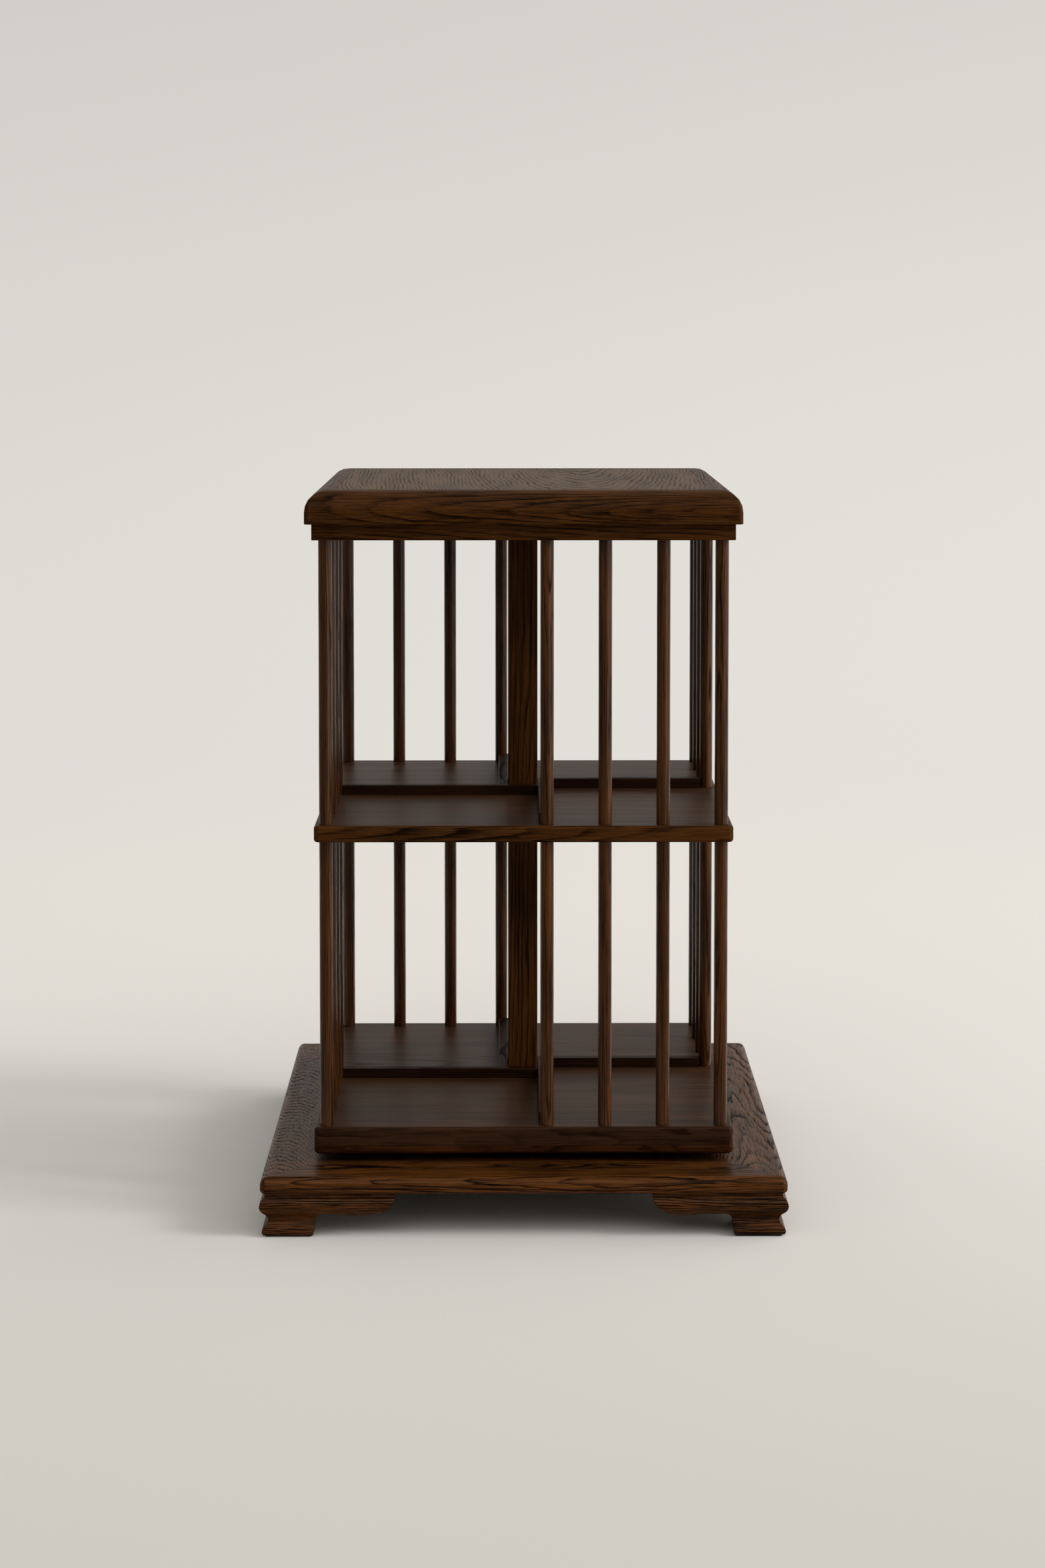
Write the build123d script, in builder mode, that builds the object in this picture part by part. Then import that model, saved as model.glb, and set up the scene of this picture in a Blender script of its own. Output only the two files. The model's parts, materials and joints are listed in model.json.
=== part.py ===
from build123d import *
import os

os.makedirs("parts", exist_ok=True)

# Heights of the layers, from the floor up, in millimetres
pad_thickness = 1.5
foot_height = 40.0
slab_thickness = 16.0
swivel_height = 8.0
skirt_thickness = 8.5
bottom_thickness = 17.5
lower_bay_height = 276.0
middle_thickness = 16.0
upper_bay_height = 274.0
frieze_thickness = 15.5
top_thickness = 32.0

# Widths of the square layers
base_width = 500.0
shelf_width = 402.0
bottom_overhang = 0.5
frieze_overhang = 1.0
top_overhang = 6.75

# Base: a mitred frame round a panel, with moulded edges
base_rail_width = 80.0
base_corner = 6.0
base_top_round = 8.5
base_lower_round = 3.5

# Bracket feet: the moulded face, set in from the side of the base
bracket_thickness = 20.0
bracket_length = 128.5
neck_inset = 4.4
neck_height = 3.3
bulge_out = 0.5
bulge_foot = 21.3
waist_inset = 7.6
waist_height = 15.6
waist_foot = 9.9
toe_inset = 3.5

# Bracket feet: the sawn outline, measured from the side of the base
foot_width = 50.7
foot_shoulder_run = 11.5
foot_shoulder_rise = 5.75
foot_shoulder_sag = 2.5
foot_shoulder_height = 19.6
foot_lean = 1.2
wing_flat = 26.7
wing_dip_run = 19.0
wing_dip = 1.8

glue_block_width = 25.0
pad_width = 44.0
pad_inset = 5.0
pad_corner = 2.0

# Case: boards, lippings and mouldings
case_corner = 5.0
lipping_width = 4.5
shelf_round = 3.0
skirt_width = 40.0
skirt_round = 4.0
frieze_ease = 0.8
top_moulding_width = 28.0
top_round = 21.0
top_corner = 5.0
packing_width = 190.0

# Centre post, battens and spindles
post_width = 30.0
post_ease = 0.6
batten_width = 10.0
batten_height = 10.0
batten_ease = 0.8
batten_lap = 2.5
spindle_diameter = 13.0
spindle_edge = 0.25
spindle_socket = 11.0
spindles_per_face = 4

# Swivel: two pressed plates, balls between them and an eyelet through both
plate_width = 152.0
plate_corner = 8.0
plate_sheet = 1.2
race_radius = 57.0
race_width = 14.0
race_gap = 2.0
ball_diameter = 4.8
ball_count = 28
ball_play = 0.05
cage_thickness = 1.2
cage_width = 11.0
dish_radius = 18.0
dish_slope = 8.0
dish_gap = 0.2
eyelet_radius = 10.0
eyelet_wall = 1.5
eyelet_flange = 4.0
eyelet_flange_thickness = 1.0
eyelet_play = 0.05

# Screws
plate_screw_offset = 64.0
plate_screw_radius = 1.5
plate_screw_length = 12.0
plate_screw_head_radius = 3.2
plate_screw_head_height = 1.8
access_radius = 7.0
post_screw_radius = 2.0
post_screw_head_radius = 4.0
post_screw_length = 45.0
countersink_angle = 90.0

# Levels that follow from the heights
slab_base = pad_thickness + foot_height
slab_top = slab_base + slab_thickness
case_base = slab_top + swivel_height
bottom_base = case_base + skirt_thickness
bottom_top = bottom_base + bottom_thickness
middle_base = bottom_top + lower_bay_height
middle_top = middle_base + middle_thickness
frieze_base = middle_top + upper_bay_height
frieze_top = frieze_base + frieze_thickness

# Half widths that follow from the widths
base_half = base_width / 2
base_panel_half = base_half - base_rail_width
shelf_half = shelf_width / 2
bottom_half = shelf_half + bottom_overhang
frieze_half = shelf_half + frieze_overhang
top_half = frieze_half + top_overhang
top_panel_half = top_half - top_moulding_width
post_half = post_width / 2

# Every spindle stands just inside the lipping, on a square line round the case
spindle_radius = spindle_diameter / 2
spindle_line = shelf_half - lipping_width - spindle_edge - spindle_radius
spindle_first = post_half + batten_width - batten_lap
spindle_pitch = (spindle_line - spindle_first) / (spindles_per_face - 1)

quarter_turn = 90.0
mitre_angle = quarter_turn / 2

SIDES = ["front", "right", "back", "left"]
SPINDLE_NAMES = ["centre", "inner", "outer", "corner"]


def turned(plane, side):
    """Carry a plane of the front side round the axis to another side."""
    return Plane(Location((0, 0, 0), (0, 0, quarter_turn * side)) * plane.location)


def section(level):
    """The upright plane of a turned section, whose heights are measured from a level plane."""
    return Plane(level.location * Plane.XZ.location)


def mitre(side, handed):
    """The plane of a mitre at one end of a side: 1 is its left end, -1 its right end."""
    return turned(Plane(origin=(0, 0, 0), x_dir=(0, 0, 1), z_dir=(handed, -1, 0)), side)


def mitred_rail(side, half, width, level, thickness, corner, top_round, lower_round=None):
    """One side of a moulded square frame: a straight run between mitres, turned round each corner."""
    run = half - corner
    with BuildSketch() as section_face:
        with Locations((-half, level)):
            Rectangle(width, thickness, align=(Align.MIN, Align.MIN))
        outer = section_face.vertices().group_by(Axis.X)[0].sort_by(Axis.Y)
        fillet(outer[-1], radius=top_round)
        if lower_round:
            outer = section_face.vertices().group_by(Axis.X)[0].sort_by(Axis.Y)
            fillet(outer[0], radius=lower_round)
    with BuildPart() as rail:
        with BuildSketch(turned(Plane.YZ, side)):
            add(section_face.sketch)
        extrude(amount=run, both=True)
        split(bisect_by=mitre(side, 1), keep=Keep.TOP)
        split(bisect_by=mitre(side, -1), keep=Keep.TOP)
        for handed in (1, -1):
            with BuildSketch(turned(Plane.YZ.offset(handed * run), side)):
                add(section_face.sketch)
                with Locations((-run, level)):
                    Rectangle(width, thickness, align=(Align.MIN, Align.MIN), mode=Mode.SUBTRACT)
            pivot = turned(Plane.XY, side).from_local_coords(Vector(handed * run, -run, 0))
            revolve(axis=Axis(pivot, (0, 0, handed)), revolution_arc=mitre_angle)
    return rail.part


def spindle_places(side):
    """Where the spindles of one side stand: from beside the post out to the corner."""
    along = [spindle_first + spindle_pitch * i for i in range(spindles_per_face)]
    frame = turned(Plane.XY, side)
    return [frame.from_local_coords(Vector(x, -spindle_line, 0)) for x in along]


ALL_SPINDLES = [place for side in range(4) for place in spindle_places(side)]


# Foot pads
pad_centre = base_half - pad_inset - pad_width / 2
with BuildPart() as foot_pads:
    with BuildSketch():
        with GridLocations(2 * pad_centre, 2 * pad_centre, 2, 2):
            RectangleRounded(pad_width, pad_width, pad_corner)
    extrude(amount=pad_thickness)
foot_pads.part.label = "foot_pads"
export_step(foot_pads.part, "parts/foot_pads.step")


# Bracket feet: a moulded board, sawn to its outline and mitred at the corner
bulge_top = slab_base - neck_height
shoulder_level = foot_shoulder_height + pad_thickness
dip_level = shoulder_level - wing_dip
shoulder_start = foot_width + foot_lean
dip_start = foot_width + wing_flat
dip_end = dip_start + wing_dip_run
wing_run = bracket_length - dip_end

for side, side_name in enumerate(SIDES):
    for handed, hand_name in ((1, "left"), (-1, "right")):
        profile_plane = turned(Plane.YZ, side)
        outline_plane = turned(Plane.XZ.offset(base_half + bulge_out), side)
        with BuildPart() as bracket:
            with BuildSketch(profile_plane):
                with BuildLine():
                    neck = Line(
                        (-base_half + neck_inset, slab_base),
                        (-base_half + neck_inset, bulge_top),
                    )
                    bulge = ThreePointArc(
                        neck @ 1,
                        (-base_half - bulge_out, (bulge_top + bulge_foot) / 2),
                        (-base_half + neck_inset, bulge_foot),
                    )
                    waist = ThreePointArc(
                        bulge @ 1,
                        (-base_half + waist_inset, waist_height),
                        (-base_half + neck_inset, waist_foot),
                    )
                    toe = TangentArc(
                        waist @ 1, (-base_half + toe_inset, pad_thickness), tangent=waist % 1
                    )
                    Polyline(
                        toe @ 1,
                        (-base_half + bracket_thickness, pad_thickness),
                        (-base_half + bracket_thickness, slab_base),
                        neck @ 0,
                    )
                make_face()
            extrude(amount=base_half + bulge_out, both=True)
            with BuildSketch(outline_plane):
                with BuildLine():
                    foot_edge = Line(
                        (-base_half + foot_width, pad_thickness),
                        (-base_half + shoulder_start, shoulder_level - foot_shoulder_rise),
                    )
                    shoulder = SagittaArc(
                        foot_edge @ 1,
                        (-base_half + shoulder_start + foot_shoulder_run, shoulder_level),
                        foot_shoulder_sag,
                    )
                    flat = Line(shoulder @ 1, (-base_half + dip_start, shoulder_level))
                    dip_middle = (
                        -base_half + (dip_start + dip_end) / 2,
                        (shoulder_level + dip_level) / 2,
                    )
                    dip_down = TangentArc(flat @ 1, dip_middle, tangent=(1, 0))
                    TangentArc(
                        dip_down @ 1, (-base_half + dip_end, dip_level), tangent=dip_down % 1
                    )
                    wing = EllipticalCenterArc(
                        (-base_half + dip_end, slab_base),
                        wing_run,
                        slab_base - dip_level,
                        start_angle=3 * quarter_turn,
                        arc_size=quarter_turn,
                    )
                    Polyline(
                        wing @ 1,
                        (-base_half - bulge_out, slab_base),
                        (-base_half - bulge_out, pad_thickness),
                        foot_edge @ 0,
                    )
                make_face()
            extrude(amount=-2 * bracket_thickness, mode=Mode.INTERSECT)
            split(bisect_by=mitre(side, 1), keep=Keep.TOP)
            if handed < 0:
                mirror(about=turned(Plane.YZ, side), mode=Mode.REPLACE)
        name = f"{side_name}_bracket_{hand_name}"
        bracket.part.label = name
        export_step(bracket.part, f"parts/{name}.step")


# Glue blocks inside the corners of the feet
block_centre = base_half - bracket_thickness - glue_block_width / 2
with BuildPart() as foot_glue_blocks:
    with BuildSketch(Plane.XY.offset(pad_thickness)):
        with GridLocations(2 * block_centre, 2 * block_centre, 2, 2):
            Rectangle(glue_block_width, glue_block_width)
    extrude(amount=foot_height)
foot_glue_blocks.part.label = "foot_glue_blocks"
export_step(foot_glue_blocks.part, "parts/foot_glue_blocks.step")


# Base rails: rounded above and below, and mitred at the corners
for side, side_name in enumerate(SIDES):
    base_rail = mitred_rail(
        side,
        base_half,
        base_rail_width,
        slab_base,
        slab_thickness,
        base_corner,
        base_top_round,
        base_lower_round,
    )
    name = f"base_rail_{side_name}"
    base_rail.label = name
    export_step(base_rail, f"parts/{name}.step")


# Base panel: pilot holes for the lower plate, and one hole to reach the upper plate's screws
screw_circle = plate_screw_offset * 2**0.5
plate_pilot_depth = plate_screw_length - plate_sheet
with BuildPart() as base_panel:
    with BuildSketch(Plane.XY.offset(slab_base)):
        Rectangle(2 * base_panel_half, 2 * base_panel_half)
        with Locations((0, -screw_circle)):
            Circle(access_radius, mode=Mode.SUBTRACT)
    extrude(amount=slab_thickness)
    with BuildSketch(Plane.XY.offset(slab_top)):
        with GridLocations(2 * plate_screw_offset, 2 * plate_screw_offset, 2, 2):
            Circle(plate_screw_radius)
    extrude(amount=-plate_pilot_depth, mode=Mode.SUBTRACT)
base_panel.part.label = "base_panel"
export_step(base_panel.part, "parts/base_panel.step")


# Swivel plates: each is drawn from its back face towards the gap between them
swivel_middle = swivel_height / 2
race_height = (swivel_height - race_gap) / 2
ball_radius = ball_diameter / 2
dish_face = swivel_middle - dish_gap / 2
lower_back = Plane.XY.offset(slab_top)
upper_back = Plane(origin=(0, 0, case_base), x_dir=(1, 0, 0), z_dir=(0, 0, -1))
PLATES = (
    ("swivel_lower_plate", lower_back, eyelet_radius),
    ("swivel_upper_plate", upper_back, eyelet_radius + eyelet_play),
)
for name, back, bore in PLATES:
    with BuildPart() as swivel_plate:
        with BuildSketch(back):
            RectangleRounded(plate_width, plate_width, plate_corner)
            Circle(dish_radius + dish_slope, mode=Mode.SUBTRACT)
            with GridLocations(2 * plate_screw_offset, 2 * plate_screw_offset, 2, 2):
                Circle(plate_screw_radius, mode=Mode.SUBTRACT)
        extrude(amount=plate_sheet)
        with BuildSketch(section(back)):
            with BuildLine():
                Polyline(
                    (bore, dish_face - plate_sheet),
                    (dish_radius, dish_face - plate_sheet),
                    (dish_radius + dish_slope, 0),
                    (dish_radius + dish_slope + plate_sheet, 0),
                    (dish_radius + dish_slope + plate_sheet, plate_sheet),
                    (dish_radius + plate_sheet, dish_face),
                    (bore, dish_face),
                    close=True,
                )
            make_face()
            with Locations((race_radius, race_height / 2)):
                Rectangle(race_width, race_height)
            with Locations((race_radius, swivel_middle)):
                Circle(ball_radius + ball_play, mode=Mode.SUBTRACT)
        revolve(axis=Axis.Z)
    swivel_plate.part.label = name
    export_step(swivel_plate.part, f"parts/{name}.step")


# Eyelet: fixed in the lower plate, and the upper plate turns round it
dish_back = dish_face - plate_sheet
eyelet_top = swivel_height - dish_back + eyelet_play
with BuildPart() as swivel_eyelet:
    with BuildSketch(section(lower_back)):
        with BuildLine():
            Polyline(
                (eyelet_radius - eyelet_wall, dish_back - eyelet_flange_thickness),
                (eyelet_radius + eyelet_flange, dish_back - eyelet_flange_thickness),
                (eyelet_radius + eyelet_flange, dish_back),
                (eyelet_radius, dish_back),
                (eyelet_radius, eyelet_top),
                (eyelet_radius + eyelet_flange, eyelet_top),
                (eyelet_radius + eyelet_flange, eyelet_top + eyelet_flange_thickness),
                (eyelet_radius - eyelet_wall, eyelet_top + eyelet_flange_thickness),
                close=True,
            )
        make_face()
    revolve(axis=Axis.Z)
swivel_eyelet.part.label = "swivel_eyelet"
export_step(swivel_eyelet.part, "parts/swivel_eyelet.step")


# Ball cage and balls, halfway between the plates
ball_level = slab_top + swivel_middle
with BuildPart() as ball_cage:
    with BuildSketch(Plane.XY.offset(ball_level - cage_thickness / 2)):
        Circle(race_radius + cage_width / 2)
        Circle(race_radius - cage_width / 2, mode=Mode.SUBTRACT)
        with PolarLocations(race_radius, ball_count):
            Circle(ball_radius + ball_play, mode=Mode.SUBTRACT)
    extrude(amount=cage_thickness)
ball_cage.part.label = "ball_cage"
export_step(ball_cage.part, "parts/ball_cage.step")

with BuildPart(Plane.XY.offset(ball_level)) as swivel_balls:
    with PolarLocations(race_radius, ball_count):
        Sphere(ball_radius)
swivel_balls.part.label = "swivel_balls"
export_step(swivel_balls.part, "parts/swivel_balls.step")


# Plate screws: pan heads in the gap, shanks in the wood behind each plate
SCREW_SETS = (("lower_plate_screws", lower_back), ("upper_plate_screws", upper_back))
for name, back in SCREW_SETS:
    with BuildPart() as plate_screws:
        with BuildSketch(back.offset(plate_sheet)):
            with GridLocations(2 * plate_screw_offset, 2 * plate_screw_offset, 2, 2):
                Circle(plate_screw_head_radius)
        extrude(amount=plate_screw_head_height)
        with BuildSketch(back.offset(plate_sheet)):
            with GridLocations(2 * plate_screw_offset, 2 * plate_screw_offset, 2, 2):
                Circle(plate_screw_radius)
        extrude(amount=-plate_screw_length)
    plate_screws.part.label = name
    export_step(plate_screws.part, f"parts/{name}.step")


# Skirt under the bottom board: four mitred strips
with BuildPart() as bottom_skirt:
    with BuildSketch(Plane.XY.offset(case_base)):
        RectangleRounded(2 * bottom_half, 2 * bottom_half, case_corner)
    extrude(amount=skirt_thickness)
    fillet(bottom_skirt.faces().sort_by(Axis.Z)[0].edges(), radius=skirt_round)
    with BuildSketch(Plane.XY.offset(case_base)):
        Rectangle(2 * (bottom_half - skirt_width), 2 * (bottom_half - skirt_width))
    extrude(amount=skirt_thickness, mode=Mode.SUBTRACT)
    split(bisect_by=mitre(0, 1), keep=Keep.BOTH)
    split(bisect_by=mitre(0, -1), keep=Keep.BOTH)
bottom_skirt.part.label = "bottom_skirt"
export_step(bottom_skirt.part, "parts/bottom_skirt.step")


# Packing board that carries the upper plate
with BuildPart() as swivel_packing:
    with BuildSketch(Plane.XY.offset(case_base)):
        Rectangle(packing_width, packing_width)
        with GridLocations(2 * plate_screw_offset, 2 * plate_screw_offset, 2, 2):
            Circle(plate_screw_radius, mode=Mode.SUBTRACT)
    extrude(amount=skirt_thickness)
    with Locations(upper_back):
        CounterSinkHole(
            post_screw_radius, post_screw_head_radius, counter_sink_angle=countersink_angle
        )
swivel_packing.part.label = "swivel_packing"
export_step(swivel_packing.part, "parts/swivel_packing.step")


# Shelf panels and lippings: a panel inside a frame of four thin mitred strips
SHELVES = (
    ("bottom", bottom_base, bottom_thickness, bottom_half),
    ("middle", middle_base, middle_thickness, shelf_half),
)
for tier, level, thickness, half in SHELVES:
    inner = 2 * (half - lipping_width)
    with BuildPart() as lippings:
        with BuildSketch(Plane.XY.offset(level)):
            RectangleRounded(2 * half, 2 * half, case_corner)
        extrude(amount=thickness)
        fillet(lippings.faces().sort_by(Axis.Z)[-1].edges(), radius=shelf_round)
        if tier == "middle":
            fillet(lippings.faces().sort_by(Axis.Z)[0].edges(), radius=shelf_round)
        with BuildSketch(Plane.XY.offset(level)):
            Rectangle(inner, inner)
        extrude(amount=thickness, mode=Mode.SUBTRACT)
        split(bisect_by=mitre(0, 1), keep=Keep.BOTH)
        split(bisect_by=mitre(0, -1), keep=Keep.BOTH)
    name = f"{tier}_lippings"
    lippings.part.label = name
    export_step(lippings.part, f"parts/{name}.step")

screw_tip_depth = plate_pilot_depth - skirt_thickness
with BuildPart() as bottom_shelf:
    with BuildSketch(Plane.XY.offset(bottom_base)):
        Rectangle(2 * (bottom_half - lipping_width), 2 * (bottom_half - lipping_width))
        Circle(post_screw_radius, mode=Mode.SUBTRACT)
    extrude(amount=bottom_thickness)
    with BuildSketch(Plane.XY.offset(bottom_top)):
        with Locations(ALL_SPINDLES):
            Circle(spindle_radius)
    extrude(amount=-spindle_socket, mode=Mode.SUBTRACT)
    with BuildSketch(Plane.XY.offset(bottom_base)):
        with GridLocations(2 * plate_screw_offset, 2 * plate_screw_offset, 2, 2):
            Circle(plate_screw_radius)
    extrude(amount=screw_tip_depth, mode=Mode.SUBTRACT)
bottom_shelf.part.label = "bottom_shelf"
export_step(bottom_shelf.part, "parts/bottom_shelf.step")

with BuildPart() as middle_shelf:
    with BuildSketch(Plane.XY.offset(middle_base)):
        Rectangle(2 * (shelf_half - lipping_width), 2 * (shelf_half - lipping_width))
        Rectangle(post_width, post_width, mode=Mode.SUBTRACT)
        with Locations(ALL_SPINDLES):
            Circle(spindle_radius, mode=Mode.SUBTRACT)
    extrude(amount=middle_thickness)
middle_shelf.part.label = "middle_shelf"
export_step(middle_shelf.part, "parts/middle_shelf.step")


# Centre post, from the bottom shelf to the frieze, with a pilot hole in each end
post_height = frieze_base - bottom_top
lower_pilot_depth = post_screw_length - skirt_thickness - bottom_thickness
upper_pilot_depth = post_screw_length - frieze_thickness
with BuildPart() as centre_post:
    with BuildSketch(Plane.XY.offset(bottom_top)):
        Rectangle(post_width, post_width)
    extrude(amount=post_height)
    chamfer(centre_post.edges().filter_by(Axis.Z), length=post_ease)
    with BuildSketch(Plane.XY.offset(bottom_top)):
        Circle(post_screw_radius)
    extrude(amount=lower_pilot_depth, mode=Mode.SUBTRACT)
    with BuildSketch(Plane.XY.offset(frieze_base)):
        Circle(post_screw_radius)
    extrude(amount=-upper_pilot_depth, mode=Mode.SUBTRACT)
centre_post.part.label = "centre_post"
export_step(centre_post.part, "parts/centre_post.step")

frieze_up = Plane.XY.offset(frieze_top)
post_screw_shank = post_screw_length - (post_screw_head_radius - post_screw_radius)
with BuildPart() as post_screws:
    for face in (upper_back, frieze_up):
        with BuildSketch(section(face.offset(-post_screw_length))):
            with BuildLine():
                Polyline(
                    (0, 0),
                    (post_screw_radius, 0),
                    (post_screw_radius, post_screw_shank),
                    (post_screw_head_radius, post_screw_length),
                    (0, post_screw_length),
                    close=True,
                )
            make_face()
        revolve(axis=Axis.Z)
post_screws.part.label = "post_screws"
export_step(post_screws.part, "parts/post_screws.step")


# Battens: each lies along one side of the post and stops its books at the middle of the case
batten_start = -spindle_line + spindle_radius
for tier, level in (("lower", bottom_top), ("upper", middle_top)):
    for side, side_name in enumerate(SIDES):
        with BuildPart() as batten:
            with BuildSketch(turned(Plane.XY.offset(level), side)):
                with Locations((post_half, batten_start)):
                    Rectangle(batten_width, post_half - batten_start, align=(Align.MIN, Align.MIN))
            extrude(amount=batten_height)
            top_face = batten.faces().sort_by(Axis.Z)[-1]
            chamfer(top_face.edges(), length=batten_ease)
        name = f"{tier}_batten_{side_name}"
        batten.part.label = name
        export_step(batten.part, f"parts/{name}.step")


# Spindles: whole dowels, from sockets in the bottom shelf, through the middle shelf, to the frieze
spindle_base = bottom_top - spindle_socket
spindle_length = frieze_base + spindle_socket - spindle_base
for side, side_name in enumerate(SIDES):
    for place, place_name in zip(spindle_places(side), SPINDLE_NAMES):
        with BuildPart() as spindle:
            with BuildSketch(Plane.XY.offset(spindle_base)):
                with Locations(place):
                    Circle(spindle_radius)
            extrude(amount=spindle_length)
        name = f"spindle_{side_name}_{place_name}"
        spindle.part.label = name
        export_step(spindle.part, f"parts/{name}.step")


# Frieze board, with the upper sockets
with BuildPart() as frieze_board:
    with BuildSketch(Plane.XY.offset(frieze_base)):
        Rectangle(2 * frieze_half, 2 * frieze_half)
    extrude(amount=frieze_thickness)
    chamfer(frieze_board.edges().filter_by(Axis.Z), length=frieze_ease)
    chamfer(frieze_board.faces().sort_by(Axis.Z)[0].edges(), length=frieze_ease)
    with BuildSketch(Plane.XY.offset(frieze_base)):
        with Locations(ALL_SPINDLES):
            Circle(spindle_radius)
    extrude(amount=spindle_socket, mode=Mode.SUBTRACT)
    with Locations(frieze_up):
        CounterSinkHole(
            post_screw_radius, post_screw_head_radius, counter_sink_angle=countersink_angle
        )
frieze_board.part.label = "frieze_board"
export_step(frieze_board.part, "parts/frieze_board.step")


# Top: a flat panel inside four mouldings with a large quarter round
for side, side_name in enumerate(SIDES):
    top_moulding = mitred_rail(
        side,
        top_half,
        top_moulding_width,
        frieze_top,
        top_thickness,
        top_corner,
        top_round,
    )
    name = f"top_moulding_{side_name}"
    top_moulding.label = name
    export_step(top_moulding, f"parts/{name}.step")

with BuildPart() as top_panel:
    with BuildSketch(frieze_up):
        Rectangle(2 * top_panel_half, 2 * top_panel_half)
    extrude(amount=top_thickness)
top_panel.part.label = "top_panel"
export_step(top_panel.part, "parts/top_panel.step")
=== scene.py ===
# %% [markdown]
# A revolving bookcase stands on a square base with bracket feet. Its case turns on a ball swivel
# in the gap above the base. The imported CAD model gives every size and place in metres, and this
# lesson dresses it: it builds each visible wooden part again as a fine surface with numpy, and
# gives every part a finish of nodes. Sizes could be typed in again, but the model is loaded
# first and measured instead, so that nothing is guessed.

# %% Load the CAD model
import json
import math

import bpy
import numpy as np
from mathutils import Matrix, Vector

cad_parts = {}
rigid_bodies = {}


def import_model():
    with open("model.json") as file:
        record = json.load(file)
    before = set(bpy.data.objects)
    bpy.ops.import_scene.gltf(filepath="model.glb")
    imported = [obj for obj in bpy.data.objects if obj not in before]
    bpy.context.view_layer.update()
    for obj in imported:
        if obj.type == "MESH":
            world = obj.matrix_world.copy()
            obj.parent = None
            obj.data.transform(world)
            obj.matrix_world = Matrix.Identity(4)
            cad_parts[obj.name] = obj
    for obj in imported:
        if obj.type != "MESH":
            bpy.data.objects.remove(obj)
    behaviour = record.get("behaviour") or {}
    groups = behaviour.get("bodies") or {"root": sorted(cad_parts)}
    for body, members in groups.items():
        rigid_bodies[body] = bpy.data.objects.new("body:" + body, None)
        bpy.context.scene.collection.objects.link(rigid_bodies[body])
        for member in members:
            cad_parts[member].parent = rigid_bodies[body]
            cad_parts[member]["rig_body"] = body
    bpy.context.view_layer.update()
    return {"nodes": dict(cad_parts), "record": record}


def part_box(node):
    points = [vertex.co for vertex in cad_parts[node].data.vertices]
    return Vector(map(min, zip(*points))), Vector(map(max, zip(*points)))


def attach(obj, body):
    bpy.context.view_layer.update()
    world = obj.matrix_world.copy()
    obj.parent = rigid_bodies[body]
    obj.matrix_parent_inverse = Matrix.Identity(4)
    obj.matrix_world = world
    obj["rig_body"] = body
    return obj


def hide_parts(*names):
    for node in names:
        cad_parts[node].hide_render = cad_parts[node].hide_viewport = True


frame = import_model()
SLOT_OF = {part["node"]: part["material_slot"] for part in frame["record"]["subparts"]}
SIDES = ("front", "right", "back", "left")
mm = 0.001

# %% [markdown]
# The photograph was taken from a little above the case, nearly square on to the front. A camera
# could be dragged about until the edges agree by eye. Here its place and lens come from a fit to
# the edges of the object, which is closer. The shift is a view camera's rising front: the lens
# looks only 3 degrees down, and the frame is slid downwards, so that uprights stay nearly upright.

# %% Camera
# all in pixels of the photograph: its height, the focal length, and the row that the lens aims at
FRAME_ROWS = 2352
FOCAL_ROWS = 4223.6
AIMED_ROW = 693.3
SENSOR = 36.0

camera_data = bpy.data.cameras.new("photo_camera")
camera_data.sensor_width = SENSOR
camera_data.lens = SENSOR * FOCAL_ROWS / FRAME_ROWS
camera_data.shift_y = (AIMED_ROW - FRAME_ROWS / 2) / FRAME_ROWS
camera = bpy.data.objects.new("photo_camera", camera_data)
camera.location = (-0.0135, -2.8702, 0.8718)
camera.rotation_euler = (math.radians(87.0), 0.0, math.radians(-0.266))
bpy.context.scene.collection.objects.link(camera)
bpy.context.scene.camera = camera
bpy.context.scene.view_settings.view_transform = "Standard"
print("lens", round(camera_data.lens, 2), "shift", round(camera_data.shift_y, 4))

# %% [markdown]
# Wood shows its growth rings, its pores and the stain. Each of these is a number that varies over
# the surface, and a finish is sums and products of them. Math nodes could be placed one by
# one, but a small class that turns + - * / into Math nodes keeps the formula readable.


# %% Numbers on a surface
class Tone:
    """A number that varies over a surface; arithmetic with it lays down Math nodes."""

    def __init__(self, finish, socket):
        """The number that comes out of this socket, in the node tree of this finish."""
        self.finish = finish
        self.socket = socket

    def maths(self, operation, *terms):
        """One Math node of the given operation, on these terms in their order."""
        node = self.finish.lay("ShaderNodeMath", {"operation": operation}, dict(enumerate(terms)))
        return Tone(self.finish, node.outputs[0])

    def __add__(self, other):
        """tone + other"""
        return self.maths("ADD", self, other)

    def __radd__(self, other):
        """other + tone"""
        return self.maths("ADD", other, self)

    def __sub__(self, other):
        """tone - other"""
        return self.maths("SUBTRACT", self, other)

    def __rsub__(self, other):
        """other - tone"""
        return self.maths("SUBTRACT", other, self)

    def __mul__(self, other):
        """tone * other"""
        return self.maths("MULTIPLY", self, other)

    def __rmul__(self, other):
        """other * tone"""
        return self.maths("MULTIPLY", other, self)

    def __truediv__(self, other):
        """tone / other"""
        return self.maths("DIVIDE", self, other)

    def __rtruediv__(self, other):
        """other / tone"""
        return self.maths("DIVIDE", other, self)

    def __pow__(self, other):
        """tone to the power of other"""
        return self.maths("POWER", self, other)

    def fraction(self):
        """What follows the point: the tone less its whole part."""
        return self.maths("FRACT", self)

    def larger(self, other):
        """The larger of the two numbers."""
        return self.maths("MAXIMUM", self, other)

    def ramp(self, low, high):
        """0 below low, 1 above high and a smooth rise between them."""
        node = self.finish.lay(
            "ShaderNodeMapRange",
            {"interpolation_type": "SMOOTHSTEP"},
            {"Value": self, "From Min": low, "From Max": high},
        )
        return Tone(self.finish, node.outputs["Result"])


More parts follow.
